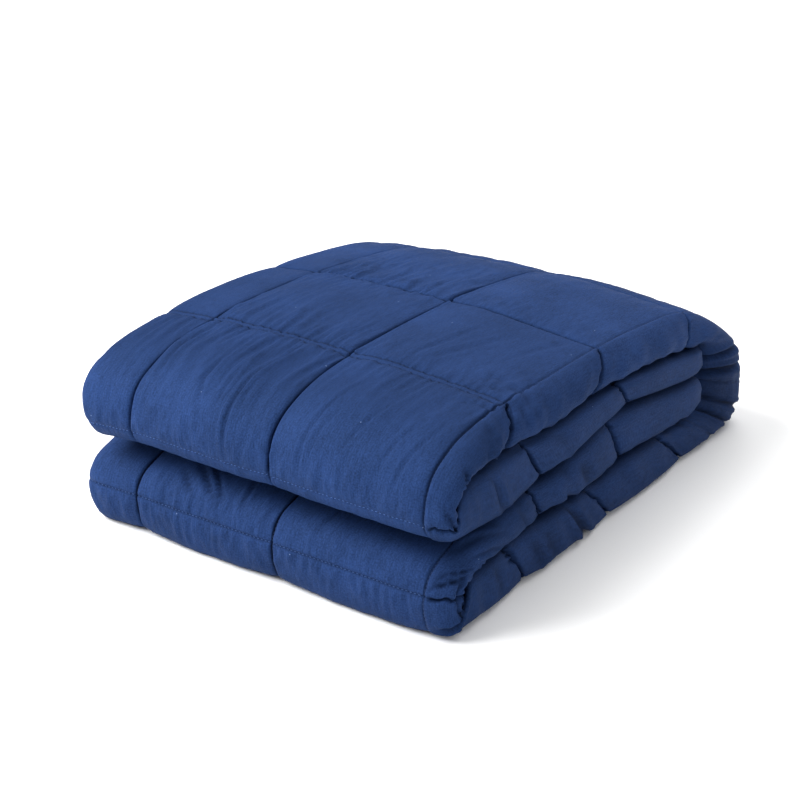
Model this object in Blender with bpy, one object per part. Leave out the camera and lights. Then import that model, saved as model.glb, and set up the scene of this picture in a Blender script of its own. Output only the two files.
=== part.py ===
"""A quilted weighted blanket, folded in thirds across its width and then folded up along its length.

The blanket is 8 by 14 square pockets. Its side thirds lie folded in under the middle third, which
makes one thick strip. Both ends of that strip are folded to its middle, and the strip is then folded in
half over them. So the strip runs back and forth in four layers: from its upper free end forward, round
the upper front roll, back along the top, down round the back, forward along the floor, round the lower
front roll, and back to its lower free end. Metres, X along the front, Y from front to back, Z up. The
origin is on the floor under the middle of the stack.
"""
import math

import bmesh
import bpy
import numpy as np

# Sizes of the stack
POCKET = 0.127  # side of a quilted pocket
HALF_WIDTH = 0.163  # middle of the stack to either end
RIGHT_SEAM = 0.144  # lengthwise seam nearest the right end
LENGTH_SEAMS = (RIGHT_SEAM - 2 * POCKET, RIGHT_SEAM - POCKET, RIGHT_SEAM)
SLIT = 0.0016  # air between two layers that lie on each other
TIP_LENGTH = 0.018  # how far from a free end its rounding starts
TIP_DEPTH = 0.146  # the two free ends' depth in the stack
# How a free end narrows: how far from its very end, and how thick, as parts of its length and of the layer
TIP_SHARES = ((0.0, 0.30), (0.25, 0.72))

# Sizes of the quilting
CROWN = 0.0042  # a pocket's middle above its seams, where it shows
CHANNEL = 0.0022  # seams below the face that they are sewn into
CROSS_SHARE = 0.75  # depth of a cross seam's valley, as a part of a lengthwise one's
SHOULDER = 0.024  # width of the round shoulder beside a seam
SHOULDER_SHARE = 0.5  # part of a pocket's height that its shoulders make
END_DIPS = {1: 0.0055, -1: 0.0030}  # cross seams' grooves in the right end and in the left one
DIP_WIDTH = 0.013  # half the width of such a groove
DIP_POWER = 1.5  # 1 is a plain V, more is sharper
FRONT_SEAMS = (0, 8)  # cross seams on the two front rolls, which are pulled in less
FRONT_DIP_SHARE = 0.25  # their grooves, as a part of the other ones
END_ROUND = 0.018  # rounding of a layer at the two ends, along X
END_SQUARENESS = 2.1  # 2 is an ellipse, more is squarer
TIP_NARROWING = 0.006  # how far the two ends of a free end are drawn in
# The undersides of the two front rolls are drawn in at the left end
TUCKS = (
    # middle of the underside, as a place, and depth of the tuck
    (-0.22, 0.014),
    (7.60, 0.006),
)
TUCK_REACH = 0.45  # how far a tuck reaches along the run, as a part of a pocket

# Sinking of the two ends below the middle, as parts of the height, and where it starts and is whole
RIGHT_SAG = 0.060
RIGHT_SAG_RANGE = (0.03, 0.15)
LEFT_SAG = 0.045
LEFT_SAG_RANGE = (0.09, 0.165)
LEFT_BACK_SAG = 0.015
LEFT_BACK_SAG_RANGE = (-0.02, 0.07)
LEFT_BACK = (-0.06, 0.06)  # the left of the middle sinks a little more from this range on
LEVEL_FRONT = (-0.236, -0.08)  # the right end sinks from the front of this range to its back

# Tops of the four layers at the middle of the width, at places from front to back
LAYER_TOPS = (
    # depth, lowest, third, second, top
    (-0.166, 0.0420, 0.0675, 0.1145, 0.1397),
    (-0.136, 0.0440, 0.0725, 0.1152, 0.1443),
    (-0.076, 0.0445, 0.0775, 0.1158, 0.1456),
    (-0.040, 0.0420, 0.0840, 0.1170, 0.1456),
    (0.000, 0.0435, 0.0885, 0.1160, 0.1448),
    (0.060, 0.0420, 0.0835, 0.1115, 0.1400),
    (0.120, 0.0385, 0.0745, 0.1010, 0.1315),
)
# Faces of the three rolls, in the order of the run
UPPER_ROLL = (
    # depth, height
    (-0.192, 0.0680),
    (-0.208, 0.0685),
    (-0.2190, 0.0715),
    (-0.2262, 0.0775),
    (-0.2293, 0.0848),
    (-0.2273, 0.1034),
    (-0.2193, 0.1174),
    (-0.2060, 0.1266),
    (-0.1916, 0.1333),
)
BACK_ROLL = (
    (0.153, 0.1200),
    (0.184, 0.1015),
    (0.2085, 0.0795),
    (0.2225, 0.0560),
    (0.2280, 0.0340),
    (0.2245, 0.0150),
    (0.2125, 0.0030),
    (0.1950, 0.0000),
)
LOWER_ROLL = (
    (-0.2010, 0.0000),
    (-0.2130, 0.0002),
    (-0.2217, 0.0040),
    (-0.2270, 0.0155),
    (-0.2285, 0.0330),
    (-0.2203, 0.0483),
    (-0.2012, 0.0566),
    (-0.1860, 0.0625),
)
# Where the slits between the layers turn down inside the two front rolls
UPPER_SLIT_END = (
    (-0.1860, 0.1138),
    (-0.2040, 0.1112),
    (-0.2125, 0.1045),
    (-0.2145, 0.0940),
    (-0.2145, 0.0835),
)
LOWER_SLIT_END = (
    (-0.1820, 0.0412),
    (-0.1960, 0.0395),
    (-0.2040, 0.0335),
    (-0.2060, 0.0250),
    (-0.2060, 0.0175),
)
# The hollow of the back roll, which the free ends lie against
BACK_HOLLOW = (
    (0.1460, 0.0965),
    (0.1530, 0.0865),
    (0.1560, 0.0720),
    (0.1560, 0.0580),
    (0.1530, 0.0460),
    (0.1450, 0.0395),
)
# Cross seams along the run. Each is sewn through the strip, and reaches its two faces at different depths.
# A row's points lie a little inside the strip, so that each is nearest to its own face.
CROSS_SEAMS = (
    # place, near the outer face: depth, height, near the inner face: depth, height
    (-2, 0.004, 0.0980, -0.016, 0.1100),
    (-1, -0.122, 0.0800, -0.149, 0.1100),
    (0, -0.2300, 0.0848, -0.2145, 0.0825),
    (1, -0.136, 0.1440, -0.157, 0.1230),
    (2, -0.010, 0.1440, -0.040, 0.1250),
    (3, 0.129, 0.1290, 0.110, 0.1120),
    (4, 0.2280, 0.0340, 0.157, 0.0590),
    (5, 0.119, 0.0010, 0.078, 0.0370),
    (6, -0.009, 0.0010, -0.043, 0.0370),
    (7, -0.134, 0.0010, -0.157, 0.0370),
    (8, -0.2285, 0.0330, -0.2070, 0.0310),
    (9, -0.128, 0.0670, -0.115, 0.0500),
    (10, -0.010, 0.0790, 0.011, 0.0500),
)
FIRST_PLACE = -3
LAST_PLACE = 11

# Points of the mesh, as parts of a pocket
SHOWN_STEPS = (0.0, 0.035, 0.09, 0.2, 0.35, 0.5, 0.65, 0.8, 0.91, 0.965)
HIDDEN_STEPS = (0.0, 0.05, 0.2, 0.5, 0.8, 0.95)
ACROSS_STEPS = (0.0, 0.05, 0.14, 0.3, 0.5, 0.7, 0.86, 0.95)
SHOWN_PLACES = range(-1, 9)
OPENING_PLACES = (-0.25, 0.1)  # where the outer face comes out from between the front rolls
CLOSING_PLACES = (8.6, 8.95)  # where it goes back in
TIP_STEP = 0.02
BASE_POINTS = 5
BASE_DEPTH = 0.15
ARC_POINTS = 7
LEFT_STRIP_POINTS = 3
INNER_POINTS = 9
SAMPLE = 0.0005  # spacing of the points that a run is measured by

FABRIC_COLOUR = (0.028, 0.060, 0.190, 1.0)
FABRIC_ROUGHNESS = 0.85


def smooth_run(points):
    """Return a natural cubic spline through the points, sampled evenly by chord length."""
    knots = np.asarray(points, float)
    chord = np.concatenate(([0.0], np.cumsum(np.linalg.norm(np.diff(knots, axis=0), axis=1))))
    gaps = np.diff(chord)
    slopes = np.diff(knots, axis=0) / gaps[:, None]
    matrix = np.eye(len(knots))
    change = np.zeros_like(knots)
    for i in range(1, len(knots) - 1):
        matrix[i, i - 1 : i + 2] = gaps[i - 1], 2 * (gaps[i - 1] + gaps[i]), gaps[i]
        change[i] = 6 * (slopes[i] - slopes[i - 1])
    bend = np.linalg.solve(matrix, change)
    at = np.linspace(0.0, chord[-1], max(2, round(chord[-1] / SAMPLE) + 1))
    i = np.clip(np.searchsorted(chord, at, side="right") - 1, 0, len(gaps) - 1)
    gap = gaps[i][:, None]
    past = (at - chord[i])[:, None]
    ahead = gap - past
    cubic = (bend[i] * ahead**3 + bend[i + 1] * past**3) / (6 * gap)
    before = (knots[i] / gap - bend[i] * gap / 6) * ahead
    after = (knots[i + 1] / gap - bend[i + 1] * gap / 6) * past
    return cubic + before + after


def distances(run):
    """Return how far along the run each of its points lies."""
    return np.concatenate(([0.0], np.cumsum(np.linalg.norm(np.diff(run, axis=0), axis=1))))


def normals(run):
    """Return the unit normals on the left of the run's direction."""
    along = np.gradient(run, axis=0)
    along /= np.linalg.norm(along, axis=1)[:, None]
    return np.stack((-along[:, 1], along[:, 0]), axis=1)


def offset(run, distance):
    """Return the run moved to its left by the distance."""
    return run + distance * normals(run)


def layer_points(layer, shift=0.0):
    """Return a layer's top, from front to back, as points moved up by the shift."""
    return [(row[0], row[layer] + shift) for row in LAYER_TOPS]


def tip_points(lower, upper):
    """Return the lower and the upper face of a free end, from the tip towards the front."""
    middle = (lower + upper) / 2
    half = (upper - lower) / 2
    faces = []
    for side in (-1, 1):
        face = [(TIP_DEPTH - back * TIP_LENGTH, middle + side * share * half) for back, share in TIP_SHARES]
        faces.append(face)
    return faces


def outer_run():
    """Return the strip's outer face, from the upper free end round the stack to the lower one."""
    _, lowest, third, second, _ = LAYER_TOPS[-1]
    upper_tip = tip_points(third + SLIT, second - SLIT)[0]
    lower_tip = tip_points(lowest + SLIT, third - SLIT)[1]
    points = upper_tip + layer_points(2, SLIT / 2)[::-1]
    points += UPPER_ROLL
    points += layer_points(4)
    points += BACK_ROLL
    points += [(depth, 0.0) for depth in np.linspace(BASE_DEPTH, -BASE_DEPTH, BASE_POINTS)]
    points += LOWER_ROLL
    points += layer_points(2, -SLIT / 2)
    points += lower_tip[::-1]
    return smooth_run(points)


def inner_run():
    """Return the strip's inner face, in the same order as the outer one."""
    _, lowest, third, second, _ = LAYER_TOPS[-1]
    upper_tip = tip_points(third + SLIT, second - SLIT)[1]
    lower_tip = tip_points(lowest + SLIT, third - SLIT)[0]
    upper_slit = smooth_run(layer_points(3)[::-1] + list(UPPER_SLIT_END))
    lower_slit = smooth_run(layer_points(1)[::-1] + list(LOWER_SLIT_END))
    second_top = offset(upper_slit, SLIT / 2)
    first_base = offset(upper_slit, -SLIT / 2)[::-1]
    fourth_top = offset(lower_slit, SLIT / 2)
    third_base = offset(lower_slit, -SLIT / 2)[::-1]
    into_slit = smooth_run([*upper_tip, second_top[0]])
    hollow = smooth_run([first_base[-1], *BACK_HOLLOW, fourth_top[0]])
    out_of_slit = smooth_run([third_base[-1], *lower_tip[::-1]])
    pieces = (into_slit[:-1], second_top, first_base, hollow[1:-1], fourth_top, third_base, out_of_slit[1:])
    return np.concatenate(pieces)


def seam_distances(run, columns):
    """Return how far along the run each place from the first to the last lies."""
    along = distances(run)
    found = [0.0]
    for row in CROSS_SEAMS:
        target = np.array((row[columns[0]], row[columns[1]]))
        found.append(along[np.argmin(np.linalg.norm(run - target, axis=1))])
    found.append(along[-1])
    return np.array(found)


class Face:
    """One face of the strip, which gives a point and a normal for any place along the run."""

    def __init__(self, run, columns):
        self.run = run
        self.along = distances(run)
        self.across = normals(run)
        self.places = np.arange(FIRST_PLACE, LAST_PLACE + 1)
        self.marks = seam_distances(run, columns)

    def at(self, place):
        """Return the point and the normal at a place, where whole places are cross seams."""
        distance = np.interp(place, self.places, self.marks)
        point = [np.interp(distance, self.along, self.run[:, axis]) for axis in (0, 1)]
        normal = [np.interp(distance, self.along, self.across[:, axis]) for axis in (0, 1)]
        return np.array(point), np.array(normal)


def ramp(value, start, end):
    """Return 0 before start, 1 after end and a smooth step between them."""
    part = min(max((value - start) / (end - start), 0.0), 1.0)
    return part * part * (3 - 2 * part)


def pillow(distance, half):
    """Return a pocket's height over its seam, from 0 on the seam to 1 in its middle."""
    shoulder = 1 - (1 - min(distance / SHOULDER, 1.0)) ** 2
    swell = math.sin(math.pi / 2 * min(distance / half, 1.0))
    return SHOULDER_SHARE * shoulder + (1 - SHOULDER_SHARE) * swell


def shown(place):
    """Return how far the outer face at a place lies open, from 0 to 1."""
    return ramp(place, *OPENING_PLACES) * (1 - ramp(place, *CLOSING_PLACES))


def quilting(place, x):
    """Return how far the outer face lies above its seams' level at a place and an x."""
    to_cross = abs(place - round(place)) * POCKET
    to_length = min(abs(x - seam) for seam in LENGTH_SEAMS)
    height = pillow(to_length, POCKET / 2) * (1 - CROSS_SHARE * (1 - pillow(to_cross, POCKET / 2)))
    return CROWN * shown(place) * height - CHANNEL * (1 - min(height / SHOULDER_SHARE, 1.0)) ** 2


def sag(x, y):
    """Return the part of its height that the stack loses at a place."""
    right = RIGHT_SAG * ramp(x, *RIGHT_SAG_RANGE) * ramp(y, *LEVEL_FRONT)
    left = LEFT_SAG * ramp(-x, *LEFT_SAG_RANGE)
    return right + left + LEFT_BACK_SAG * ramp(-x, *LEFT_BACK_SAG_RANGE) * ramp(y, *LEFT_BACK)


def end_reach(place, side):
    """Return how far the strip's right end, side 1, or left end, side -1, lies from the middle."""
    seam = round(place)
    to_cross = abs(place - seam) * POCKET
    to_tip = min(place - FIRST_PLACE, LAST_PLACE - place) * POCKET
    reach = HALF_WIDTH - TIP_NARROWING * max(0.0, 1 - to_tip / TIP_LENGTH) ** 2
    if to_tip > DIP_WIDTH:
        share = FRONT_DIP_SHARE if seam in FRONT_SEAMS else 1.0
        reach -= END_DIPS[side] * share * max(0.0, 1 - to_cross / DIP_WIDTH) ** DIP_POWER
    if side < 0:
        for middle, depth in TUCKS:
            reach -= depth * (1 - ramp(abs(place - middle), 0.0, TUCK_REACH))
    return reach


def end_arc(place, side):
    """Return the points round one end, from outer to inner face, as x and the outer face's share."""
    flat = HALF_WIDTH - END_ROUND
    depth = end_reach(place, side) - flat
    power = 2 / END_SQUARENESS
    arc = []
    for turn in np.linspace(math.pi / 2, -math.pi / 2, ARC_POINTS + 2):
        up = math.sin(turn)
        arc.append((side * (flat + depth * math.cos(turn) ** power), math.copysign(abs(up) ** power, up)))
    return arc


def ring_layout(place):
    """Return the ring round the strip at a place, as x and the outer face's share."""
    flat = HALF_WIDTH - END_ROUND
    left_strip = np.linspace(-flat, LENGTH_SEAMS[0], LEFT_STRIP_POINTS + 2)[1:-1]
    pockets = [seam + step * POCKET for seam in LENGTH_SEAMS[:2] for step in ACROSS_STEPS]
    ring = [(x, 1.0) for x in (*left_strip, *pockets, LENGTH_SEAMS[2])]
    ring += end_arc(place, 1)
    ring += [(x, -1.0) for x in np.linspace(flat, -flat, INNER_POINTS + 2)[1:-1]]
    return ring + end_arc(place, -1)[::-1]


def strip_section(place, outer, inner):
    """Return the closed ring of points round the strip at a place along its run."""
    (outer_point, outer_normal), (inner_point, _) = outer.at(place), inner.at(place)
    points = []
    for x, share in ring_layout(place):
        middle = (outer_point * (1 + share) + inner_point * (1 - share)) / 2
        y, z = middle + outer_normal * quilting(place, x) * max(share, 0.0)
        points.append((x, y, max(z * (1 - sag(x, y)), 0.0)))
    return points


def places():
    """Return the places along the run where the strip has a section."""
    found = []
    for seam in range(FIRST_PLACE, LAST_PLACE):
        steps = SHOWN_STEPS if seam in SHOWN_PLACES else HIDDEN_STEPS
        found += [seam + step for step in steps]
    return found[:1] + [FIRST_PLACE + TIP_STEP] + found[1:] + [LAST_PLACE - TIP_STEP, LAST_PLACE]


def strip_sections():
    """Return the strip's sections in the order of the run, with the origin under the middle of their box."""
    outer = Face(outer_run(), (1, 2))
    inner = Face(inner_run(), (3, 4))
    sections = np.array([strip_section(place, outer, inner) for place in places()])
    sections[:, :, 1] -= (sections[:, :, 1].min() + sections[:, :, 1].max()) / 2
    return sections


def folded_strip(name):
    """Loft the strip's sections into one closed solid and return its mesh."""
    form = bmesh.new()
    rings = [[form.verts.new(point) for point in section] for section in strip_sections()]
    for ring, following in zip(rings, rings[1:]):
        for i in range(len(ring)):
            j = (i + 1) % len(ring)
            form.faces.new((ring[i], ring[j], following[j], following[i]))
    form.faces.new(rings[0][::-1])
    form.faces.new(rings[-1])
    bmesh.ops.recalc_face_normals(form, faces=form.faces)
    mesh = bpy.data.meshes.new(name)
    form.to_mesh(mesh)
    form.free()
    return mesh


def fabric(name):
    """Return the plain navy cotton."""
    material = bpy.data.materials.new(name)
    material.use_nodes = True
    shader = material.node_tree.nodes["Principled BSDF"]
    shader.inputs["Base Color"].default_value = FABRIC_COLOUR
    shader.inputs["Roughness"].default_value = FABRIC_ROUGHNESS
    shader.inputs["Metallic"].default_value = 0.0
    return material


def main():
    """Build the blanket in an empty scene."""
    for old in list(bpy.data.objects):
        bpy.data.objects.remove(old)
    collection = bpy.data.collections.new("weighted_blanket")
    bpy.context.scene.collection.children.link(collection)
    mesh = folded_strip("blanket")
    mesh.shade_smooth()
    mesh.materials.append(fabric("navy_cotton"))
    collection.objects.link(bpy.data.objects.new("blanket", mesh))


main()
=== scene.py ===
"""Looks of a navy weighted blanket that lies folded into a stack of four layers.

The cloth is one padded piece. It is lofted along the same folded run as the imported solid, in metres and in
the same frame, then gets its sewn valleys, its puckers and its creases. The stitches lie on it as thread.
"""
import logging
import math
from dataclasses import dataclass, field
from enum import Enum

import bpy
import numpy as np
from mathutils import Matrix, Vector


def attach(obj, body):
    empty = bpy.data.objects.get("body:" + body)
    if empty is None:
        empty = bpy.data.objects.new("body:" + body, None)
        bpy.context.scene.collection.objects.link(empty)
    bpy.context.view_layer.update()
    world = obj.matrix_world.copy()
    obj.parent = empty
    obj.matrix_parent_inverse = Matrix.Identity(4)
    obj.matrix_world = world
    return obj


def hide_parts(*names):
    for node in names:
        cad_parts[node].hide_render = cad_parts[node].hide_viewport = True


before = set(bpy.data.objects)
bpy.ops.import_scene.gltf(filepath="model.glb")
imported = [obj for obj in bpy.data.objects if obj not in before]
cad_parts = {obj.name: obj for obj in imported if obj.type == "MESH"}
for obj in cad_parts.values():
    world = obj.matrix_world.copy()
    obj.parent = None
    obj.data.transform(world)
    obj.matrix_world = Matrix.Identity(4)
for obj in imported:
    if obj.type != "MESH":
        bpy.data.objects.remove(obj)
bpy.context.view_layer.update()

LOG = logging.getLogger("weighted_blanket")
BODY = "root"
CLOTH_NODE = "blanket"

POCKET = 0.127  # side of a quilted pocket
HALF_WIDTH = 0.163  # middle of the stack to either end
END_ROUND = 0.018  # rounding of a layer at the two ends, along X
FLAT_WIDTH = HALF_WIDTH - END_ROUND
RIGHT_SEAM = 0.144
LENGTH_SEAMS = (RIGHT_SEAM - 2 * POCKET, RIGHT_SEAM - POCKET, RIGHT_SEAM)
LAYER_THICKNESS = 0.038
FIRST_PLACE = -3  # the upper free end, with one place for each cross seam
LAST_PLACE = 11  # the lower free end
CROSS_SEAMS = tuple(seam * POCKET for seam in range(FIRST_PLACE + 1, LAST_PLACE))
NEARLY = 1e-6  # grid lines that are no further apart count as one
TINY = 1e-12  # least length that is divided by
NOISE_SIDE = 256  # nodes along a side of the noise's table
NOISE_GAIN = 1.6  # brings the noise to about -1 to 1
RIDGE_LEVEL = 0.4  # taken off ridged noise, so that it doesn't raise the cloth as a whole
WAVE_SPACING = 0.314  # distance of a wave texture's bands at scale 1
Array, Tree, Socket = np.ndarray, bpy.types.NodeTree, bpy.types.NodeSocket


class End(Enum):
    """The two ends of the strip along X."""

    LEFT = -1
    RIGHT = 1


def ramp(value: Array | float, start: float, end: float) -> Array:
    """Return 0 before start, 1 after end and a smooth step between them.

    Args:
        value: What is compared with start and end.
        start: Where the step begins.
        end: Where it is whole.

    Returns:
        The step, in the value's shape.
    """
    part = np.clip((np.asarray(value, float) - start) / (end - start), 0.0, 1.0)
    return part * part * (3 - 2 * part)


def falloff(off: Array, width: float, power: float = 2) -> Array:
    """Return 1 at the middle of a peak that fades on both sides.

    Args:
        off: Distance from the middle.
        width: Distance at which the peak has fallen to about a third.
        power: 1 for a sharp peak, 2 for a round one and more for a flat one.

    Returns:
        The peak's height, in the distance's shape.
    """
    return np.exp(-((off / width) ** power))


def soft_noise(u: Array, v: Array, seed: int) -> Array:
    """Return smooth noise of about -1 to 1 with patches one unit wide.

    Args:
        u: First coordinate, in patches.
        v: Second coordinate, in patches.
        seed: Which noise it is.

    Returns:
        The noise, in the coordinates' shape.
    """
    angles = np.random.default_rng(seed).uniform(0.0, 2 * np.pi, (NOISE_SIDE, NOISE_SIDE))
    column, row = np.floor(u).astype(int), np.floor(v).astype(int)
    right, up = u - column, v - row
    ease = [part**3 * (part * (part * 6 - 15) + 10) for part in (right, up)]
    rows = []
    for dv in (0, 1):
        pair = []
        for du in (0, 1):
            angle = angles[(column + du) % NOISE_SIDE, (row + dv) % NOISE_SIDE]
            pair.append(np.cos(angle) * (right - du) + np.sin(angle) * (up - dv))
        rows.append(pair[0] * (1 - ease[0]) + pair[1] * ease[0])
    return NOISE_GAIN * (rows[0] * (1 - ease[1]) + rows[1] * ease[1])


def lines_between(start: float, end: float, seams: tuple, step: float, near: tuple = (0.0,)) -> Array:
    """Return grid lines that lie close together beside seams and evenly elsewhere.

    Args:
        start: The first line.
        end: The last line.
        seams: Where seams run.
        step: Widest gap that is left.
        near: Distances from a seam at which it has lines on both sides.

    Returns:
        The lines in rising order.
    """
    marks = {start, end, *(seam + side * gap for seam in seams for gap in near for side in (-1, 1))}
    kept = sorted(mark for mark in marks if start <= mark <= end)
    lines = [kept[0]]
    for low, high in zip(kept, kept[1:]):
        if high - low > NEARLY:
            lines.extend(np.linspace(low, high, max(1, math.ceil((high - low) / step)) + 1)[1:])
    return np.array(lines)


def linear_colour(code: str) -> tuple[float, float, float, float]:
    """Return an sRGB hex colour as linear red, green, blue and alpha.

    Args:
        code: The colour as #rrggbb.

    Returns:
        The linear colour with alpha 1.
    """
    parts = [int(code[i : i + 2], 16) / 255 for i in (1, 3, 5)]
    return (*(part / 12.92 if part <= 0.04045 else ((part + 0.055) / 1.055) ** 2.4 for part in parts), 1.0)


def add_node(tree: Tree, kind: str, inputs: dict | None = None, **settings) -> bpy.types.Node:
    """Add a node, and set or link its inputs.

    Args:
        tree: The material's node tree.
        kind: The node's type.
        inputs: Input name or number to a value, or to the socket that feeds it.
        **settings: Properties of the node.

    Returns:
        The new node.
    """
    node = tree.nodes.new(kind)
    for name, value in settings.items():
        setattr(node, name, value)
    for name, value in (inputs or {}).items():
        if isinstance(value, Socket):
            tree.links.new(value, node.inputs[name])
        else:
            node.inputs[name].default_value = value
    return node


def new_material(name: str, inputs: dict) -> bpy.types.Material:
    """Start a material.

    Args:
        name: The material's name.
        inputs: Input of its shader to its value.

    Returns:
        The material.
    """
    made = bpy.data.materials.new(name)
    made.use_nodes = True
    for title, value in inputs.items():
        made.node_tree.nodes["Principled BSDF"].inputs[title].default_value = value
    return made


def new_piece(
    name: str, points: Array, faces: list, material: bpy.types.Material, values: dict
) -> bpy.types.Object:
    """Make a smooth piece.

    Args:
        name: The piece's name.
        points: Its points.
        faces: Its faces, as rows of the points' numbers.
        material: Its finish.
        values: Attribute name to its value at each point.

    Returns:
        The piece's object.
    """
    mesh = bpy.data.meshes.new(name)
    mesh.from_pydata(points.reshape(-1, 3).tolist(), [], faces)
    for title, numbers in values.items():
        layer = mesh.attributes.new(title, "FLOAT", "POINT")
        layer.data.foreach_set("value", numbers.astype(np.float32).ravel())
    mesh.shade_smooth()
    mesh.materials.append(material)
    piece = bpy.data.objects.new(name, mesh)
    bpy.context.scene.collection.objects.link(piece)
    return piece


# The folded form


@dataclass
class FoldedRun:
    """One face of the folded strip, as a line in the plane of depth and height."""

    points: Array
    marks: Array

    @staticmethod
    def smooth(points: list, sample: float = 0.0005) -> Array:
        """Return a natural cubic spline through the points, sampled evenly by chord length.

        Args:
            points: Depth and height of each point.
            sample: Spacing of the samples.

        Returns:
            The samples, one row each.
        """
        knots = np.asarray(points, float)
        chord = FoldedRun.distances(knots)
        gaps = np.diff(chord)
        slopes = np.diff(knots, axis=0) / gaps[:, None]
        matrix = np.eye(len(knots))
        change = np.zeros_like(knots)
        for i in range(1, len(knots) - 1):
            matrix[i, i - 1 : i + 2] = gaps[i - 1], 2 * (gaps[i - 1] + gaps[i]), gaps[i]
            change[i] = 6 * (slopes[i] - slopes[i - 1])
        bend = np.linalg.solve(matrix, change)
        at = np.linspace(0.0, chord[-1], max(2, round(chord[-1] / sample) + 1))
        i = np.clip(np.searchsorted(chord, at, side="right") - 1, 0, len(gaps) - 1)
        gap = gaps[i][:, None]
        past = (at - chord[i])[:, None]
        ahead = gap - past
        cubic = (bend[i] * ahead**3 + bend[i + 1] * past**3) / (6 * gap)
        before = (knots[i] / gap - bend[i] * gap / 6) * ahead
        after = (knots[i + 1] / gap - bend[i + 1] * gap / 6) * past
        return cubic + before + after

    @staticmethod
    def distances(points: Array) -> Array:
        """Return how far along the line each of its points lies."""
        return np.concatenate(([0.0], np.cumsum(np.linalg.norm(np.diff(points, axis=0), axis=1))))

    @staticmethod
    def normals(points: Array) -> Array:
        """Return a line's unit normals.

        Args:
            points: The line's points.

        Returns:
            The normals on the left of its direction.
        """
        along = np.gradient(points, axis=0)
        along /= np.linalg.norm(along, axis=1)[:, None]
        return np.stack((-along[:, 1], along[:, 0]), axis=1)

    @classmethod
    def through(cls, points: Array, seams: list) -> "FoldedRun":
        """Return a run whose whole places lie at its points nearest to the seams.

        Args:
            points: The line's points.
            seams: Depth and height near each cross seam, in the order of the run.

        Returns:
            The run.
        """
        along = cls.distances(points)
        found = [along[np.argmin(np.linalg.norm(points - np.array(seam), axis=1))] for seam in seams]
        return cls(points, np.array([0.0, *found, along[-1]]))

    def at(self, places: Array) -> tuple[Array, Array]:
        """Return the points and normals at places along the run.

        Args:
            places: Places, where whole ones are cross seams.

        Returns:
            Points and normals, one row for each place.
        """
        distance = np.interp(places, np.arange(FIRST_PLACE, LAST_PLACE + 1), self.marks)
        along = self.distances(self.points)
        point, normal = (
            np.stack([np.interp(distance, along, table[:, axis]) for axis in (0, 1)], axis=1)
            for table in (self.points, self.normals(self.points))
        )
        return point, normal / np.linalg.norm(normal, axis=1)[:, None]


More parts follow.
